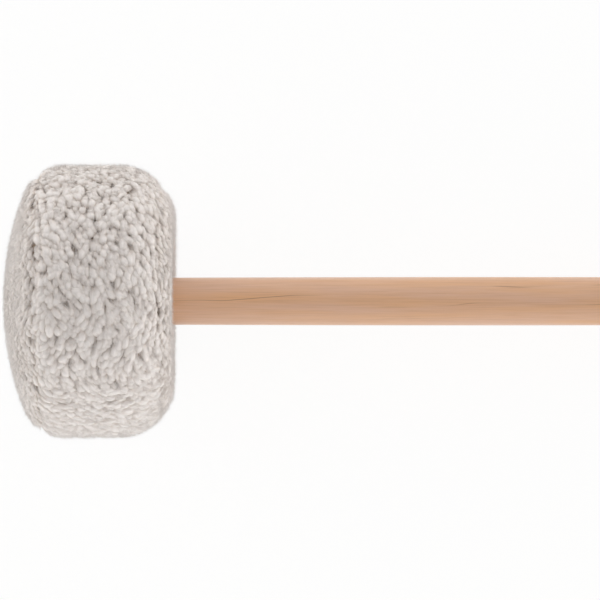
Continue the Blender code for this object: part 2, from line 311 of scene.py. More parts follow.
@dataclass(frozen=True)
class Finish:
    """A surface finish. Each kind below says what its real material is and builds its nodes."""

    name: str

    def start(self) -> tuple[bpy.types.Material, bpy.types.NodeTree, bpy.types.Node]:
        """Starts the material.

        Returns:
            The new material, its node tree and its Principled shader.
        """
        material = bpy.data.materials.new(self.name)
        material.use_nodes = True
        return material, material.node_tree, material.node_tree.nodes["Principled BSDF"]

    def set(self, shader: bpy.types.Node, values: dict) -> None:
        """Sets plain values on the shader's own sockets."""
        for name, value in values.items():
            shader.inputs[name].default_value = value

    def coordinates(self, tree: bpy.types.NodeTree, axes: MalletFrame) -> bpy.types.NodeSocket:
        """Object coordinates turned into the mallet's own axes.

        Args:
            tree: the material's nodes.
            axes: the mallet's own axes.

        Returns:
            The turned coordinates.
        """
        place = add(tree, "ShaderNodeTexCoord", {})
        turn = Matrix(axes.turn.T.tolist()).to_euler()
        inputs = {"Vector": place.outputs["Object"], "Location": axes.origin, "Rotation": turn}
        return add(tree, "ShaderNodeMapping", inputs, vector_type="TEXTURE").outputs["Vector"]

    def pattern(self, tree: bpy.types.NodeTree, place: bpy.types.NodeSocket,
                scale: tuple[float, float, float], detail: float, roughness: float = 0.5
                ) -> bpy.types.NodeSocket:
        """A noise with its own scale along each axis.

        Args:
            tree: the material's nodes.
            place: the coordinates.
            scale: spots to a metre, along each axis.
            detail: how many finer layers it has.
            roughness: how strong the finer layers are.

        Returns:
            The noise, from 0 to 1.
        """
        scaled = add(tree, "ShaderNodeVectorMath", {"Vector": place, "Vector_001": scale},
                     operation="MULTIPLY").outputs["Vector"]
        inputs = {"Vector": scaled, "Scale": 1.0, "Detail": detail, "Roughness": roughness}
        return add(tree, "ShaderNodeTexNoise", inputs).outputs["Fac"]

    def layered(self, tree: bpy.types.NodeTree, ground: str,
                layers: list[tuple[bpy.types.NodeSocket, str]]) -> bpy.types.NodeSocket:
        """Lays colours over a ground colour, one after another.

        Args:
            tree: the material's nodes.
            ground: the ground's colour.
            layers: for each layer, how much it covers and its colour.

        Returns:
            The colour on top.
        """
        colour = linear(ground)
        for share, code in layers:
            inputs = {"Factor_Float": share, "A_Color": colour, "B_Color": linear(code)}
            colour = add(tree, "ShaderNodeMix", inputs, data_type="RGBA").outputs[2]
        return colour


@dataclass(frozen=True)
class LacqueredMaple(Finish):
    """Hard maple turned along its grain, sanded and given a satin nitrocellulose lacquer.

    The eye sees fine straight fibres, a few dark wavy growth lines and a soft even gloss.

    Attributes:
        fibre_width: the fibres' width, coarser than real so that they show.
        line_spacing: twice this lies between two growth lines.
        line_half: half a line's width.
        line_wander: how far the lines stray.
        line_lean: how much the lines lean across the handle along its length.
        line_depth: how much the growth rings lean through the handle.
        patches: the light and dark patches' scale, in spots to a metre.
        bends: the lines' bends' scale, in spots to a metre.
    """

    axes: MalletFrame
    wood: str = "#D6AB8E"
    warm: str = "#D9A678"
    streak: str = "#B98A6B"
    line: str = "#7E5A40"
    fibre_width: float = 0.45 * MM
    fibre_length: float = 26.0 * MM
    line_spacing: float = 3.4 * MM
    line_half: float = 0.28 * MM
    line_wander: float = 7.0 * MM
    line_lean: float = 0.035
    line_depth: float = 0.35
    patches: tuple[float, float, float] = (160.0, 160.0, 14.0)
    bends: tuple[float, float, float] = (60.0, 60.0, 22.0)

    def make(self) -> bpy.types.Material:
        """Builds the material.

        Returns:
            The material.
        """
        material, tree, shader = self.start()
        place = self.coordinates(tree, self.axes)
        thin, long = 1 / self.fibre_width, 1 / self.fibre_length
        fibres = self.pattern(tree, place, (thin, thin, long), 4.0, 0.6)
        patch = self.pattern(tree, place, self.patches, 3.0)
        wander = self.pattern(tree, place, self.bends, 1.5)
        parts = add(tree, "ShaderNodeSeparateXYZ", {"Vector": place})
        level = parts.outputs["Y"]
        for value, factor in ((parts.outputs["Z"], self.line_lean), (parts.outputs["X"], self.line_depth),
                              (wander, self.line_wander)):
            level = add(tree, "ShaderNodeMath", {"Value": value, "Value_001": factor, "Value_002": level},
                        operation="MULTIPLY_ADD").outputs[0]
        rings = add(tree, "ShaderNodeMath", {"Value": level, "Value_001": self.line_spacing},
                    operation="PINGPONG").outputs[0]
        near = add(tree, "ShaderNodeMapRange",
                   {"Value": rings, "From Max": self.line_half, "To Min": 1.0, "To Max": 0.0},
                   interpolation_type="SMOOTHSTEP").outputs["Result"]
        fade = add(tree, "ShaderNodeMapRange",
                   {"Value": patch, "From Min": 0.46, "From Max": 0.62, "To Max": 0.75},
                   interpolation_type="SMOOTHSTEP").outputs["Result"]
        dark = add(tree, "ShaderNodeMath", {"Value": near, "Value_001": fade},
                   operation="MULTIPLY").outputs[0]
        tone = add(tree, "ShaderNodeMapRange",
                   {"Value": patch, "From Min": 0.35, "From Max": 0.7}).outputs["Result"]
        share = add(tree, "ShaderNodeMapRange",
                    {"Value": fibres, "From Min": 0.45, "From Max": 0.8, "To Max": 0.6}).outputs["Result"]
        colour = self.layered(tree, self.wood,
                              [(tone, self.warm), (share, self.streak), (dark, self.line)])
        gloss = add(tree, "ShaderNodeMapRange",
                    {"Value": fibres, "From Min": 0.3, "From Max": 0.7, "To Min": 0.34, "To Max": 0.44})
        bump = add(tree, "ShaderNodeBump",
                   {"Height": fibres, "Strength": 0.25, "Distance": 0.05 * MM}).outputs["Normal"]
        tree.links.new(colour, shader.inputs["Base Color"])
        tree.links.new(gloss.outputs["Result"], shader.inputs["Roughness"])
        tree.links.new(bump, shader.inputs["Normal"])
        self.set(shader, {"IOR": 1.5, "Coat Weight": 0.35, "Coat Roughness": 0.3})
        return material


@dataclass(frozen=True)
class SherpaFleece(Finish):
    """Knitted sherpa fleece: its pile is brushed up and tumbled into soft curled locks.

    The eye sees pale cool tips over warm shaded roots, fine streaks along each lock, and the
    soft bright rim that loose wool gives. The roots' darker warm colour is painted shade: the
    shade deep between the locks is laid into the base colour.

    Attributes:
        streak_width: the streaks' width, coarser than real wool so that they show.
        streak_length: the streaks' length.
        variety: how much the streaks differ from lock to lock.
    """

    # Painted shade: root is the darker warm colour of the shade between the locks, given to the backing
    # and the locks' low sides
    root: str = "#C4AB93"
    middle: str = "#E6DAD0"
    tip: str = "#F3EDE9"
    streak_width: float = 0.5 * MM
    streak_length: float = 6.0 * MM
    variety: float = 60.0

    def make(self) -> bpy.types.Material:
        """Builds the material.

        Attribute pile is 0 at the backing and 1 at the tips, and tint is a lock's own random
        number. On a lock, comb holds the place across it, that number and the place along it.
        The colour runs from root at pile 0 to tip at pile 1, so the low parts carry painted shade.

        Returns:
            The material.
        """
        material, tree, shader = self.start()
        pile = add(tree, "ShaderNodeAttribute", {}, attribute_name="pile").outputs["Fac"]
        tint = add(tree, "ShaderNodeAttribute", {}, attribute_name="tint").outputs["Fac"]
        comb = add(tree, "ShaderNodeAttribute", {}, attribute_name="comb").outputs["Vector"]
        fineness = (1 / self.streak_width, self.variety, 1 / self.streak_length)
        streaks = self.pattern(tree, comb, fineness, 3.0, 0.65)
        low = add(tree, "ShaderNodeMapRange",
                  {"Value": pile, "From Min": 0.1, "From Max": 0.62},
                  interpolation_type="SMOOTHSTEP").outputs["Result"]
        high = add(tree, "ShaderNodeMapRange",
                   {"Value": pile, "From Min": 0.55}
                   ).outputs["Result"]
        # Painted shade: the colour darkens from the pale tips down to the root colour at the backing
        wool_with_painted_root_shade = self.layered(tree, self.root, [(low, self.middle), (high, self.tip)])
        shade = add(tree, "ShaderNodeMapRange",
                    {"Value": streaks, "From Min": 0.3, "From Max": 0.7, "To Min": 0.9, "To Max": 1.03})
        lots = add(tree, "ShaderNodeMath",
                   {"Value": tint, "Value_001": 0.07, "Value_002": -0.05},
                   operation="MULTIPLY_ADD").outputs[0]
        light = add(tree, "ShaderNodeMath",
                    {"Value": shade.outputs["Result"], "Value_001": lots}, operation="ADD").outputs[0]
        colour = add(tree, "ShaderNodeVectorMath", {"Vector": wool_with_painted_root_shade, "Scale": light},
                     operation="SCALE").outputs["Vector"]
        bump = add(tree, "ShaderNodeBump",
                   {"Height": streaks, "Strength": 0.5, "Distance": 0.25 * MM}).outputs["Normal"]
        tree.links.new(colour, shader.inputs["Base Color"])
        tree.links.new(bump, shader.inputs["Normal"])
        self.set(shader, {"Roughness": 0.95, "IOR": 1.5, "Specular IOR Level": 0.2,
                          "Sheen Weight": 0.25, "Sheen Roughness": 0.5})
        return material


@dataclass(frozen=True)
class Plain(Finish):
    """A hidden piece's finish: two tones of one material, mixed by a noise of its real grain.

    Attributes:
        dark: the darker tone.
        light: the lighter tone.
        grain: the pattern's size along the mallet's X, Y and Z, in metres.
        roughness: the surface's roughness.
        metallic: 1 for a metal.
        relief: how deep the grain is, in metres.
        sheen: the fibres' sheen.
    """

    axes: MalletFrame
    dark: str
    light: str
    grain: tuple[float, float, float]
    roughness: float
    metallic: float = 0.0
    relief: float = 0.02 * MM
    sheen: float = 0.0

    def make(self) -> bpy.types.Material:
        """Builds the material.

        Returns:
            The material.
        """
        material, tree, shader = self.start()
        place = self.coordinates(tree, self.axes)
        scale = tuple(1 / size for size in self.grain)
        grain = self.pattern(tree, place, scale, 4.0, 0.6)
        share = add(tree, "ShaderNodeMapRange",
                    {"Value": grain, "From Min": 0.3, "From Max": 0.7}).outputs["Result"]
        colour = self.layered(tree, self.dark, [(share, self.light)])
        rough = add(tree, "ShaderNodeMapRange",
                    {"Value": grain, "From Min": 0.3, "From Max": 0.7,
                     "To Min": self.roughness - 0.06, "To Max": min(self.roughness + 0.06, 1.0)})
        bump = add(tree, "ShaderNodeBump",
                   {"Height": grain, "Strength": 0.6, "Distance": self.relief}).outputs["Normal"]
        tree.links.new(colour, shader.inputs["Base Color"])
        tree.links.new(rough.outputs["Result"], shader.inputs["Roughness"])
        tree.links.new(bump, shader.inputs["Normal"])
        self.set(shader, {"Metallic": self.metallic, "Sheen Weight": self.sheen})
        return material


@dataclass
class Handle:
    """The turned handle: grip with a slight swell, rounded butt, shoulder, tenon and pilot hole.

    Attributes:
        axes: the mallet's own axes.
        radius: the grip's radius where it leaves the head.
        swell: how much the grip's middle stands out.
        butt_round: the radius of the butt's edge.
        grip_start: where the grip starts, on the mallet's Z, at the head's rear face.
        shoulder: where the shoulder meets the core.
        tenon_radius: the tenon's radius.
        tenon_end: where the tenon ends.
        tenon_chamfer: the bevel at its end.
        pilot_radius: the radius of the clamp screw's hole.
        pilot_depth: where that hole ends.
        steps: how many faces go round.
        stations: how many rings the grip has.
    """

    axes: MalletFrame
    radius: float = 10.8 * MM
    swell: float = 0.3 * MM
    butt_round: float = 3.0 * MM
    grip_start: float = -19.1 * MM
    shoulder: float = -0.3 * MM
    tenon_radius: float = 8.0 * MM
    tenon_end: float = 14.0 * MM
    tenon_chamfer: float = 1.0 * MM
    pilot_radius: float = 3.3 * MM
    pilot_depth: float = -25.1 * MM
    steps: int = 160
    stations: int = 90

    def profile(self) -> np.ndarray:
        """The (radius, height) outline, from the pilot hole over tenon and grip to the butt.

        The grip's radius is radius + swell * sin(pi * share), share running from 0 at the head
        to 1 at the butt, and the butt is a quarter circle.

        Returns:
            The points, one row each.
        """
        end = self.axes.butt_height
        bevel = self.tenon_radius - self.tenon_chamfer
        inner = [(0.0, self.pilot_depth), (self.pilot_radius, self.pilot_depth),
                 (self.pilot_radius, self.tenon_end), (bevel, self.tenon_end),
                 (self.tenon_radius, self.tenon_end - self.tenon_chamfer),
                 (self.tenon_radius, self.shoulder), (self.radius, self.shoulder)]
        height = np.linspace(self.grip_start, end + self.butt_round, self.stations)
        share = (height - self.grip_start) / (end - self.grip_start)
        grip = np.stack([self.radius + self.swell * np.sin(np.pi * share), height], axis=1)
        angle = np.linspace(0.0, -np.pi / 2, 13)[1:]
        centre = grip[-1, 0] - self.butt_round
        butt = np.stack([centre + self.butt_round * np.cos(angle),
                         height[-1] + self.butt_round * np.sin(angle)], axis=1)
        return np.concatenate([inner, grip, butt, [(0.0, end)]])

    def build(self, material: bpy.types.Material) -> bpy.types.Object:
        """Makes the handle and hides the CAD node that it replaces.

        Args:
            material: its finish.

        Returns:
            The piece.
        """
        mesh = revolved(self.profile(), self.steps, closed=False)
        mesh.points = self.axes.place(mesh.points)
        item = mesh.put("handle_turned", material)
        item.data.set_sharp_from_angle(angle=math.radians(50))
        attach(item, "root")
        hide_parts("handle")
        return item


@dataclass(frozen=True)
class HeadOutline:
    """The mean outer surface of the pile, as the head's half outline from the dome's top to the neck.

    It is a dome arc, a front corner arc, the straight rim, a rear corner arc, the flat rear face
    and the round in at the handle. Centres are (radius, height), lengths run along the outline, and
    each seam's angle is taken on its corner, from the rim's outward direction.
    """

    dome_centre: tuple[float, float] = (0.0, -76.1 * MM)
    dome_radius: float = 135.0 * MM
    front_centre: tuple[float, float] = (43.0 * MM, 31.6 * MM)
    front_radius: float = 19.0 * MM
    rear_centre: tuple[float, float] = (36.0 * MM, 6.9 * MM)
    rear_radius: float = 26.0 * MM
    neck_radius: float = 11.1 * MM
    neck_round: float = 4.0 * MM
    front_seam: float = math.radians(37.6)
    rear_seam: float = math.radians(-50.0)

    @property
    def corner_start(self) -> float:
        """The angle on the front corner where the dome runs into it."""
        reach = math.asin(self.front_centre[0] / (self.dome_radius - self.front_radius))
        return math.pi / 2 - reach

    @property
    def rear_face(self) -> float:
        """The height of the flat rear face."""
        return self.rear_centre[1] - self.rear_radius

    @property
    def ends(self) -> np.ndarray:
        """Where each of the six stretches ends, as a distance along the outline.

        Returns:
            Six distances, from the dome's end to the neck's.
        """
        lengths = [
            (math.pi / 2 - self.corner_start) * self.dome_radius,
            self.corner_start * self.front_radius,
            self.front_centre[1] - self.rear_centre[1],
            math.pi / 2 * self.rear_radius,
            self.rear_centre[0] - self.neck_radius - self.neck_round,
            math.pi / 2 * self.neck_round,
        ]
        return np.cumsum(lengths)

    def front_at(self, angle: float) -> float:
        """The distance along the outline of an angle on the front corner."""
        return float(self.ends[0] + (self.corner_start - angle) * self.front_radius)

    def rear_at(self, angle: float) -> float:
        """The distance along the outline of an angle on the rear corner."""
        return float(self.ends[2] - angle * self.rear_radius)

    def at(self, distance: np.ndarray) -> tuple[np.ndarray, np.ndarray]:
        """Points on the outline and the outward directions there.

        On an arc, a point is centre + radius * (cos a, sin a), and its direction (cos a, sin a).

        Args:
            distance: distances along the outline from the dome's top.

        Returns:
            The (radius, height) points and the (radius, height) directions.
        """
        ends = self.ends
        rim = self.front_centre[0] + self.front_radius
        dome = np.pi / 2 - distance / self.dome_radius
        front = self.corner_start - (distance - ends[0]) / self.front_radius
        rear = -(distance - ends[2]) / self.rear_radius
        neck = -np.pi / 2 - (distance - ends[4]) / self.neck_round
        neck_centre = (self.neck_radius + self.neck_round, self.rear_face + self.neck_round)
        zero = np.zeros_like(distance)
        stretches = []
        for centre, radius, angle in (
            (self.dome_centre, self.dome_radius, dome),
            (self.front_centre, self.front_radius, front),
            (self.rear_centre, self.rear_radius, rear),
            (neck_centre, self.neck_round, neck),
        ):
            cos, sin = np.cos(angle), np.sin(angle)
            stretches.append((centre[0] + radius * cos, centre[1] + radius * sin, cos, sin))
        straight = (zero + rim, self.front_centre[1] - (distance - ends[1]), zero + 1.0, zero)
        face = (self.rear_centre[0] - (distance - ends[3]), zero + self.rear_face, zero, zero - 1.0)
        order = [stretches[0], stretches[1], straight, stretches[2], face, stretches[3]]
        tests = [distance < end for end in ends[:-1]] + [distance >= ends[-2]]
        values = [np.select(tests, [run[i] for run in order]) for i in range(4)]
        return np.stack(values[:2], axis=1), np.stack(values[2:], axis=1)


@dataclass(frozen=True)
class Panel:
    """One cut piece of fleece and where it lies on the outline.

    Attributes:
        node: the CAD node that it stands for.
        start: where its outer side starts, as a distance along the outline.
        stop: where its outer side ends.
        walls: how far its inner side keeps from a seam at start and at stop, along the outline.
        fill: how full the pile is, from 0 to 1.
    """

    node: str
    start: float
    stop: float
    walls: tuple[float, float]
    fill: float


@dataclass
class Fleece:
    """The head's fleece: three panels, each a backing, thousands of curled locks and loose fibres.

    Attributes:
        axes: the mallet's own axes.
        outline: the pile's mean outer surface.
        thickness: backing and pile together.
        thread_room: how far under the outer surface the seams' threads have their room.
        pile: how deep the locks reach below the outer surface.
        locks: how many locks there are on the whole head.
        fibres: how many loose fibres there are on the whole head.
        seed: the random numbers' seed.
        steps: how many faces of a backing go round.
        skin_depth: how far the backing's outer side lies under the outer surface.
        lock_sides: how many faces go round a lock.
        flatness: a lock's height as a share of its width.
        lip_end: where the hem's inner edge lies, on the mallet's Z.
        lip_round: the bevel of that edge.
        cord_floor: where the neck cord's room starts.
        cord_roof: where it ends.
        cord_room: how far it reaches out from the hole.
    """

    axes: MalletFrame
    outline: HeadOutline = field(default_factory=HeadOutline)
    thickness: float = 10.5 * MM
    thread_room: float = 8.6 * MM
    pile: float = 3.4 * MM
    locks: int = 6400
    fibres: int = 66000
    seed: int = 11
    steps: int = 240
    skin_depth: float = 2.6 * MM
    lock_sides: int = 8
    flatness: float = 0.66
    lip_end: float = -14.2 * MM
    lip_round: float = 1.2 * MM
    cord_floor: float = -10.9 * MM
    cord_roof: float = -8.7 * MM
    cord_room: float = 2.3 * MM

    def panels(self) -> list[Panel]:
        """The three panels, cut at the two seams.

        Returns:
            The front panel, the side band and the rear panel.
        """
        shape = self.outline
        front, rear = shape.front_at(shape.front_seam), shape.rear_at(shape.rear_seam)
        gap = 0.2 * MM
        front_wall, rear_wall = 2.5 * MM, 1.85 * MM
        return [
            Panel("fleece_front_panel", 0.0, front - gap, (0.0, front_wall), 0.6),
            Panel("fleece_side_band", front + gap, rear - gap, (front_wall, rear_wall), 0.7),
            Panel("fleece_rear_panel", rear + gap, float(shape.ends[4]), (rear_wall, 0.0), 0.6),
        ]

    def swirl(self, points: np.ndarray) -> np.ndarray:
        """A slow random turn of the nap, in radians, as a sum of sines of the place.

        Args:
            points: places, in the mallet's own axes.

        Returns:
            The turns.
        """
        x, y, z = (points / (9.0 * MM)).T
        slow = 0.34 * np.sin(0.8 * y + 1.3 * np.sin(0.5 * z + 0.7) + 0.9 * x)
        fast = 0.26 * np.sin(1.9 * z + 1.6 * y + 2.0) + 0.18 * np.sin(3.1 * x - 2.3 * z + 1.0)
        return slow + fast

    def nap(self, points: np.ndarray, normals: np.ndarray, turn: np.ndarray, band: np.ndarray
            ) -> np.ndarray:
        """The direction in which the pile lies, as unit vectors along the surface.

        The round panels are cut from flat fleece, so their nap is one direction across the mallet,
        projected on the surface. The band's nap runs round the rim, and is combed towards the
        handle on the mallet's near side, where Y is low.

        Args:
            points: places on the surface, in the mallet's own axes.
            normals: the outward directions there.
            turn: the angles round the axis.
            band: True on the side band.

        Returns:
            One unit vector for each point.
        """
        down = np.tile([0.0, -1.0, 0.0], (len(points), 1))
        rear = np.tile([0.0, 0.0, -1.0], (len(points), 1))
        round_rim = np.stack([np.sin(turn), -np.cos(turn), np.zeros_like(turn)], axis=1)
        low = smooth(-np.sin(turn), 0.35, 0.9)[:, None]
        banded = (1 - low) * round_rim + 0.95 * low * rear
        flow = np.where(band[:, None], banded, down)
        flow = flow - normals * np.sum(flow * normals, axis=1, keepdims=True)
        flow = unit(flow)
        side = np.cross(normals, flow)
        bend = self.swirl(points)[:, None]
        return unit(flow * np.cos(bend) + side * np.sin(bend))

    def scatter(self, count: int, rng: np.random.Generator) -> tuple[np.ndarray, np.ndarray]:
        """Even random places on the whole head, as distances along the outline and turns.

        The places are a golden-angle spiral, spaced by the surface's area, then shaken by half
        a spacing.

        Args:
            count: how many places.
            rng: the random numbers.

        Returns:
            Distances along the outline, and angles round the axis.
        """
        length = float(self.outline.ends[-1])
        samples = 600
        shake = 0.012
        along = np.linspace(0.0, length, samples)
        radius = self.outline.at(along)[0][:, 0]
        area = np.concatenate([[0.0], np.cumsum((radius[1:] + radius[:-1]) / 2)])
        share = (np.arange(count) + rng.uniform(0.0, 1.0, count)) / count
        distance = np.interp(share * area[-1], area, along)
        turn = np.arange(count) * GOLDEN_ANGLE + rng.uniform(-shake, shake, count)
        spread = math.sqrt(math.tau * area[-1] * length / (samples - 1) / count)
        distance = distance + rng.uniform(-0.5, 0.5, count) * spread
        return np.clip(distance, 0.0, length), np.mod(turn + np.pi, math.tau) - np.pi

    def surface(self, distance: np.ndarray, turn: np.ndarray) -> tuple[np.ndarray, np.ndarray]:
        """Points on the pile's mean surface and the outward directions there.

        Args:
            distance: distances along the outline.
            turn: angles round the axis.

        Returns:
            The points, in the mallet's own axes, and the directions.
        """
        flat, out = self.outline.at(distance)
        cos, sin = np.cos(turn), np.sin(turn)
        points = np.stack([flat[:, 0] * cos, flat[:, 0] * sin, flat[:, 1]], axis=1)
        normals = np.stack([out[:, 0] * cos, out[:, 0] * sin, out[:, 1]], axis=1)
        return points, normals

    def sink(self, distance: np.ndarray) -> np.ndarray:
        """How far the pile lies below its mean surface: in the seams' folds and on the rear face.

        Args:
            distance: distances along the outline.

        Returns:
            The depths; a fold's cross-section is a bell curve.
        """
        shape = self.outline
        fold = np.zeros_like(distance)
        for seam, depth in ((shape.front_at(shape.front_seam), 1.5 * MM),
                            (shape.rear_at(shape.rear_seam), 0.9 * MM)):
            fold += depth * np.exp(-(((distance - seam) / (2.2 * MM)) ** 2))
        return fold + 1.4 * MM * smooth(distance, float(shape.ends[3]) - 6 * MM, float(shape.ends[3]))

    def fineness(self, distance: np.ndarray) -> np.ndarray:
        """How large the locks are: full size on the rim, finer on the dome and behind.

        Args:
            distance: distances along the outline.

        Returns:
            Their sizes as shares of the full size.
        """
        shape = self.outline
        front = smooth(distance, float(shape.ends[0]), shape.front_at(shape.front_seam) + 6 * MM)
        rear = smooth(distance, float(shape.ends[2]) + 10 * MM, float(shape.ends[3]))
        return 0.74 + 0.26 * front - 0.3 * rear

    def press(self, points: np.ndarray) -> np.ndarray:
        """Presses the pile up from the floor.

        A height h under the limit c becomes c * exp((h - c) / c), so it never passes the floor.

        Args:
            points: world points, which are changed.

        Returns:
            The same points.
        """
        limit = 0.8 * MM
        low = points[:, 2] < limit
        points[low, 2] = limit * np.exp((points[low, 2] - limit) / limit)
        return points

    def laid(self, distance: np.ndarray, turn: np.ndarray, band: np.ndarray, spread: float,
             rng: np.random.Generator) -> tuple[np.ndarray, np.ndarray, np.ndarray, np.ndarray]:
        """Places on the surface and the directions in which the wool lies there.

        Args:
            distance: distances along the outline.
            turn: angles round the axis.
            band: True on the side band.
            spread: the standard deviation of the turn off the nap, in radians.
            rng: the random numbers.

        Returns:
            The points, the outward directions, the directions along the wool and those across it.
        """
        points, normals = self.surface(distance, turn)
        flow = self.nap(points, normals, turn, band)
        twist = rng.normal(0.0, spread, len(distance))[:, None]
        flow = flow * np.cos(twist) + np.cross(normals, flow) * np.sin(twist)
        return points, normals, flow, np.cross(normals, flow)

    def course(self, bed: tuple[np.ndarray, ...], along: np.ndarray, height: np.ndarray,
               bow: np.ndarray) -> np.ndarray:
        """Spines that follow the wool and bend down with the curved head.

        A point that lies t along a tangent of a surface of radius R is t squared over 2R too
        high, and R is taken as the distance to the mallet's axis, but no less than 25 mm.

        Args:
            bed: what laid returns.
            along: for each spine, its points' places along the wool.
            height: their heights over the surface.
            bow: their places across the wool.

        Returns:
            The spines.
        """
        points, normals, flow, side = bed
        spine = (points[:, None] + flow[:, None] * along[..., None] + normals[:, None] * height[..., None]
                 + side[:, None] * bow[..., None])
        reach = np.linalg.norm(spine - points[:, None], axis=2) ** 2
        radius = np.maximum(np.hypot(points[:, 0], points[:, 1]), 25 * MM)
        return spine - normals[:, None] * (0.5 * reach / radius[:, None])[..., None]

    def lobes(self, distance: np.ndarray, turn: np.ndarray, band: np.ndarray, rng: np.random.Generator
              ) -> MeshData:
        """The curled locks: drop-shaped lobes that lie along the nap, thickest past their middle.

        A lock's spine runs along the nap for its length, rises from the backing over its first
        four fifths, sinks a little at its tip and bends sideways as a half sine.

        Args:
            distance: the locks' places along the outline.
            turn: the locks' turns round the axis.
            band: True for the locks of the side band.
            rng: the random numbers.

        Returns:
            The locks as one mesh, with its attributes.
        """
        count = len(distance)
        bed = self.laid(distance, turn, band, 0.3, rng)
        normals, side = bed[1], bed[3]
        size = self.fineness(distance)
        length = rng.uniform(6.6, 11.0, count) * MM * size
        half = rng.uniform(1.25, 2.15, count) * MM * size
        share = np.array([0.0, 0.12, 0.34, 0.58, 0.8, 0.94, 1.0])
        rise = np.array([-1.0, -0.86, -0.55, -0.36, -0.34, -0.45, -0.56])
        swell = np.array([0.5, 0.82, 1.0, 0.93, 0.6])
        lift = (rng.uniform(-0.35, 0.45, count) * MM - self.sink(distance))[:, None]
        along = length[:, None] * (share - 0.45)
        height = self.pile * rise[None] + lift
        bow = (rng.uniform(-0.16, 0.16, count) * length)[:, None] * np.sin(np.pi * share)
        wide = half[:, None] * swell
        deep = wide * self.flatness
        mesh = tapers(self.course(bed, along, height, bow), wide, deep, side, normals, self.lock_sides)
        angle = np.arange(self.lock_sides) * (math.tau / self.lock_sides)
        end = np.zeros((count, 1))
        up = np.concatenate([end, (deep[..., None] * np.sin(angle)).reshape(count, -1), end], axis=1)
        over = np.concatenate([end, (wide[..., None] * np.cos(angle)).reshape(count, -1), end], axis=1)
        rings = np.repeat(np.arange(1, len(swell) + 1), self.lock_sides)
        ring = np.concatenate([[0], rings, [len(swell) + 1]])
        # Painted shade: pile falls towards the backing and on each lock's underside, which the material
        # colours darker with the root colour
        level = (height[:, ring] - lift + up + self.pile) / self.pile
        identity = rng.uniform(0.0, 1.0, count)
        own = np.repeat(identity[:, None], len(ring), axis=1)
        mesh.values = {"pile": np.clip(level, 0.0, 1.0).ravel(), "tint": own.ravel()}
        mesh.vectors = {"comb": np.stack([over, own, along[:, ring]], axis=-1).reshape(-1, 3)}
        return mesh

    def strands(self, distance: np.ndarray, turn: np.ndarray, band: np.ndarray, rng: np.random.Generator
                ) -> MeshData:
        """The loose fibres over the locks: thin curved three-sided tapers.

        A fibre rises with its length to the power 1.4 and bends sideways with its square. Real
        fibres are 0.03 mm thick, and these are drawn 0.17 mm thick, as coarse as they need to be
        to show.

        Args:
            distance: the fibres' places along the outline.
            turn: the fibres' turns round the axis.
            band: True for the fibres of the side band.
            rng: the random numbers.

        Returns:
            The fibres as one mesh, with its attributes.
        """
        count = len(distance)
        bed = self.laid(distance, turn, band, 0.5, rng)
        normals, side = bed[1], bed[3]
        length = rng.uniform(3.2, 7.4, count) * MM * self.fineness(distance)
        rise = (0.3 + 2.6 * rng.beta(1.4, 3.2, count)) * MM
        share = np.array([0.0, 0.3, 0.66, 1.0])
        low = (-1.4 * MM - self.sink(distance))[:, None]
        height = low + (rise + 1.1 * MM)[:, None] * share ** 1.4
        along = length[:, None] * (share - 0.3)
        bow = (rng.uniform(-0.3, 0.3, count) * length)[:, None] * share ** 2
        thick = np.tile([0.085 * MM, 0.07 * MM], (count, 1))
        sides = 3
        mesh = tapers(self.course(bed, along, height, bow), thick, thick, side, normals, sides)
        per = thick.shape[1] * sides + 2
        identity = rng.uniform(0.0, 1.0, count)
        mesh.values = {"pile": np.full(count * per, 1.0), "tint": np.repeat(identity, per)}
        place = np.stack([identity * 9 * MM, identity, identity], axis=1)
        mesh.vectors = {"comb": np.repeat(place, per, axis=0)}
        return mesh

    def backing(self, panel: Panel) -> MeshData:
        """A panel's closed backing: its outer side under the locks and its inner side on the felt.

        Args:
            panel: the panel.

        Returns:
            A turned solid, with its attributes.
        """
        shape = self.outline
        outer = np.linspace(panel.start, panel.stop, max(int((panel.stop - panel.start) / (1.2 * MM)), 8))
        inner = np.linspace(panel.stop - panel.walls[1], panel.start + panel.walls[0], 24)
        depth = self.skin_depth + self.sink(outer)
        skin = shape.at(outer)[0] - shape.at(outer)[1] * depth[:, None]
        lining = shape.at(inner)[0] - shape.at(inner)[1] * self.thickness
        parts = [skin]
        if panel.walls[1]:
            ends = np.array([panel.stop, panel.stop - panel.walls[1]])
            parts.append(shape.at(ends)[0] - shape.at(ends)[1] * self.thread_room)
        else:
            hole, hem = shape.neck_radius, shape.neck_radius + self.cord_room
            lip = (hole + self.lip_round, self.lip_end - self.lip_round)
            wall = [(hole, self.lip_end), (hole, self.cord_floor)]
            parts.append(np.array([lip, *wall, (hem, self.cord_floor), (hem, self.cord_roof)]))
        parts.append(lining)
        if panel.walls[0]:
            starts = np.array([panel.start + panel.walls[0], panel.start])
            parts.append(shape.at(starts)[0] - shape.at(starts)[1] * self.thread_room)
        profile = np.concatenate(parts)
        pole = not panel.walls[0]
        if pole:
            profile[0, 0] = profile[-1, 0] = 0.0
        mesh = revolved(profile, self.steps, closed=not pole)
        count = len(mesh.points)
        # Painted shade: the backing gets a pile of 0.12, near the dark root colour, as the shade under the
        # locks
        mesh.values = {"pile": np.full(count, 0.12), "tint": np.full(count, 0.5)}
        mesh.vectors = {"comb": mesh.points.copy()}
        return mesh

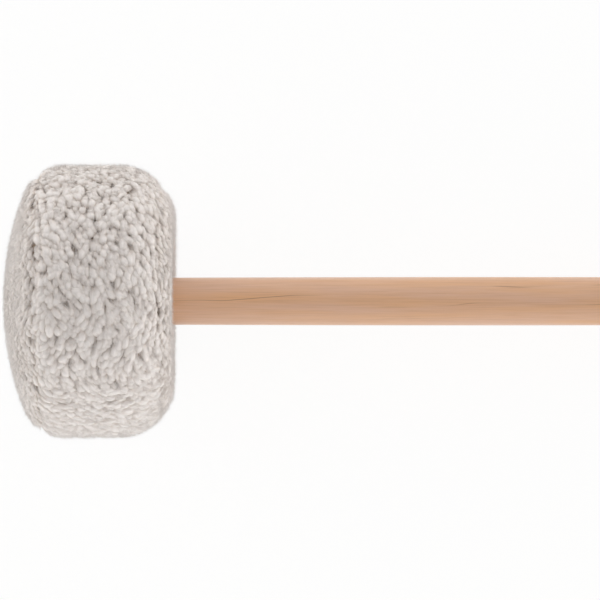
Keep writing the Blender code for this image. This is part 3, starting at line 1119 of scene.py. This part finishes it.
    def build(self, material: bpy.types.Material) -> list[bpy.types.Object]:
        """Makes the three panels and hides the CAD node of each.

        Args:
            material: the fleece's finish.

        Returns:
            The pieces.
        """
        rng = np.random.default_rng(self.seed)
        lock_at, lock_turn = self.scatter(self.locks, rng)
        fibre_at, fibre_turn = self.scatter(self.fibres, rng)
        made = []
        for panel in self.panels():
            band = panel.node == "fleece_side_band"
            stop = panel.stop if panel.walls[1] else math.inf
            parts = [self.backing(panel)]
            for along, turn, grow in ((lock_at, lock_turn, self.lobes),
                                      (fibre_at, fibre_turn, self.strands)):
                mine = (along >= panel.start - 0.2 * MM) & (along < stop + 0.2 * MM)
                parts.append(grow(along[mine], turn[mine], np.full(int(mine.sum()), band), rng))
            mesh = MeshData.joined(parts)
            mesh.points = self.press(self.axes.place(mesh.points))
            item = mesh.put(f"{panel.node}_pile", material)
            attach(item, "root")
            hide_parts(panel.node)
            made.append(item)
        return made


@dataclass
class InnerPieces:
    """The pieces inside the head, which keep their solids and get their real finishes."""

    axes: MalletFrame

    def dress(self) -> list[bpy.types.Object]:
        """Gives each inner node its finish.

        Returns:
            The nodes' objects.
        """
        even = (1.6 * MM, 1.6 * MM, 1.6 * MM)
        finishes = {
            # Hardwood turned and left bare: dull, with fibres along the mallet
            Slot.CORE_WOOD: (Plain("bare_hardwood", self.axes, "#B58A62", "#CDA67F",
                                   (0.8 * MM, 0.8 * MM, 18 * MM), 0.62), ["core_drum"]),
            # Mild steel bar faced on a lathe: grey, with fine tool marks
            Slot.STEEL: (Plain("turned_mild_steel", self.axes, "#83878C", "#989CA1",
                               (6 * MM, 6 * MM, 0.3 * MM), 0.42, 1.0, 0.01 * MM), ["steel_weight"]),
            # Bright zinc plate on pressed steel: bluish, lightly mottled
            Slot.ZINC: (Plain("bright_zinc_plate", self.axes, "#A3A8AE", "#B9BDC3", even, 0.3, 1.0,
                              0.005 * MM), ["clamp_washer", "clamp_screw"]),
            # Pressed wool felt: dull, matted, with a short nap
            Slot.FELT: (Plain("pressed_wool_felt", self.axes, "#CFC6B7", "#E0D9CD", even, 0.93, 0.0,
                              0.2 * MM, 0.3), ["rim_felt", "rear_felt", "front_felt", "front_dome_felt"]),
            # Twisted cotton thread and cord: plies show as short slanted bands
            Slot.THREAD: (Plain("twisted_cotton", self.axes, "#D6CDBD", "#EDE7DC",
                                (0.9 * MM, 0.9 * MM, 0.9 * MM), 0.85, 0.0, 0.1 * MM, 0.2),
                          ["front_seam_thread", "rear_seam_thread", "side_seam_thread", "neck_cord"]),
        }
        dressed = []
        for slot, (finish, names) in finishes.items():
            material = finish.make()
            for name in names:
                item = frame["nodes"][name]
                item.data.materials.clear()
                item.data.materials.append(material)
                LOG.info("%s: %s for slot %s", name, finish.name, slot.value)
                dressed.append(item)
        return dressed


@dataclass
class Studio:
    """A white floor, an even sky that is brighter low down, and a camera square to the mallet.

    Attributes:
        axes: the mallet's own axes.
        target: the point that the camera looks at, in the mallet's own axes.
        width: how much of the target's plane the picture takes in.
        distance: how far off the camera stands.
        sensor: the camera's sensor width, in millimetres.
        overhead: the sky's light straight above.
        low_light: the sky's light at the horizon.
        falloff: how fast the light fades from the horizon upwards.
        floor_size: the floor's width.
        floor_colour: the floor's paper white.
        shadow: how much of the floor's own shading the camera sees.
        floor_light: how bright that shading is on the open floor.
    """

    axes: MalletFrame
    target: tuple[float, float, float] = (0.0, 0.55 * MM, -76.4 * MM)
    width: float = 275 * MM
    distance: float = 2.4
    sensor: float = 36.0
    overhead: float = 0.5
    low_light: float = 4.2
    falloff: float = 4.0
    floor_size: float = 12.0
    floor_colour: str = "#F4F4F2"
    shadow: float = 0.2
    floor_light: float = 0.7

    def lens(self, scene: bpy.types.Scene) -> bpy.types.Object:
        """Makes the camera, which looks square at the mallet's axis.

        Args:
            scene: the scene that it joins.

        Returns:
            The camera.
        """
        data = bpy.data.cameras.new("camera")
        data.sensor_width = self.sensor
        data.lens = self.sensor * self.distance / self.width
        data.clip_start, data.clip_end = 0.1, 30.0
        item = bpy.data.objects.new("camera", data)
        face, across, along = self.axes.turn
        at = self.axes.place(np.array([self.target]))[0] + face * self.distance
        turn = np.array([-along, across, face]).T
        item.matrix_world = Matrix.Translation(Vector(at)) @ Matrix(turn.tolist()).to_4x4()
        scene.collection.objects.link(item)
        scene.camera = item
        return item

    def seen(self, tree: bpy.types.NodeTree) -> bpy.types.NodeSocket:
        """1 for rays that see the background: from the camera, or mirrored or let through.

        Args:
            tree: the nodes that it joins.

        Returns:
            1 for such a ray, and else 0.
        """
        path = add(tree, "ShaderNodeLightPath", {})
        seen = path.outputs["Is Camera Ray"]
        for kind in ("Is Glossy Ray", "Is Transmission Ray"):
            seen = add(tree, "ShaderNodeMath", {"Value": seen, "Value_001": path.outputs[kind]},
                       operation="MAXIMUM").outputs[0]
        return seen

    def sky(self, scene: bpy.types.Scene) -> None:
        """Lights the world: white where it is seen, and else brighter the lower a ray comes from.

        The light from a ray of height z is overhead + (low_light - overhead) * (1 - |z|) ** falloff.

        Args:
            scene: the scene that it lights.
        """
        world = bpy.data.worlds.new("studio")
        world.use_nodes = True
        tree = world.node_tree
        tree.nodes.clear()
        ray = add(tree, "ShaderNodeTexCoord", {}).outputs["Generated"]
        height = add(tree, "ShaderNodeSeparateXYZ", {"Vector": ray}).outputs["Z"]
        rise = add(tree, "ShaderNodeMath", {"Value": height}, operation="ABSOLUTE").outputs[0]
        low = add(tree, "ShaderNodeMath", {"Value": 1.0, "Value_001": rise},
                  operation="SUBTRACT").outputs[0]
        band = add(tree, "ShaderNodeMath", {"Value": low, "Value_001": self.falloff},
                   operation="POWER").outputs[0]
        light = add(tree, "ShaderNodeMapRange",
                    {"Value": band, "To Min": self.overhead, "To Max": self.low_light}).outputs["Result"]
        lamp = add(tree, "ShaderNodeBackground", {"Color": (1, 1, 1, 1), "Strength": light})
        white = add(tree, "ShaderNodeBackground", {"Color": (1, 1, 1, 1), "Strength": 1.0})
        mix = add(tree, "ShaderNodeMixShader",
                  {"Fac": self.seen(tree), "Shader": lamp.outputs[0], "Shader_001": white.outputs[0]})
        add(tree, "ShaderNodeOutputWorld", {"Surface": mix.outputs[0]})
        scene.world = world

    def floor(self) -> bpy.types.Object:
        """Makes the floor: matt white, and seen as white with a faint shadow of the mallet.

        Returns:
            The floor.
        """
        half = self.floor_size / 2
        corners = np.array([(-half, -half, 0), (half, -half, 0), (half, half, 0), (-half, half, 0)], float)
        material = bpy.data.materials.new("white_paper")
        material.use_nodes = True
        tree = material.node_tree
        tree.nodes.clear()
        paper = linear(self.floor_colour)
        matt = add(tree, "ShaderNodeBsdfDiffuse", {"Color": paper})
        dimmed = tuple(self.shadow * share for share in paper[:3]) + (1.0,)
        faint = add(tree, "ShaderNodeBsdfDiffuse", {"Color": dimmed})
        glow = add(tree, "ShaderNodeEmission",
                   {"Color": (1, 1, 1, 1), "Strength": 1.0 - self.shadow * self.floor_light})
        shown = add(tree, "ShaderNodeAddShader",
                    {"Shader": glow.outputs[0], "Shader_001": faint.outputs[0]})
        mix = add(tree, "ShaderNodeMixShader",
                  {"Fac": self.seen(tree), "Shader": matt.outputs[0], "Shader_001": shown.outputs[0]})
        add(tree, "ShaderNodeOutputMaterial", {"Surface": mix.outputs[0]})
        item = MeshData(corners, np.array([[0, 1, 2, 3]]), np.zeros((0, 3), int)).put("floor", material)
        return item

    def build(self) -> None:
        """Makes camera, sky and floor."""
        scene = bpy.context.scene
        scene.view_settings.view_transform = "Standard"
        self.lens(scene)
        self.sky(scene)
        self.floor()


def main() -> None:
    """Builds the mallet's pieces in order, then the studio round it."""
    logging.basicConfig(level=logging.INFO, format="%(name)s: %(message)s")
    axes = MalletFrame.from_record(frame["record"])
    pieces = [Handle(axes).build(LacqueredMaple("lacquered_maple", axes).make())]
    pieces += Fleece(axes).build(SherpaFleece("sherpa_fleece").make())
    pieces += InnerPieces(axes).dress()
    for item in pieces:
        LOG.info("%s: %d faces", item.name, len(item.data.polygons))
    Studio(axes).build()


if __name__ == "__main__":
    main()
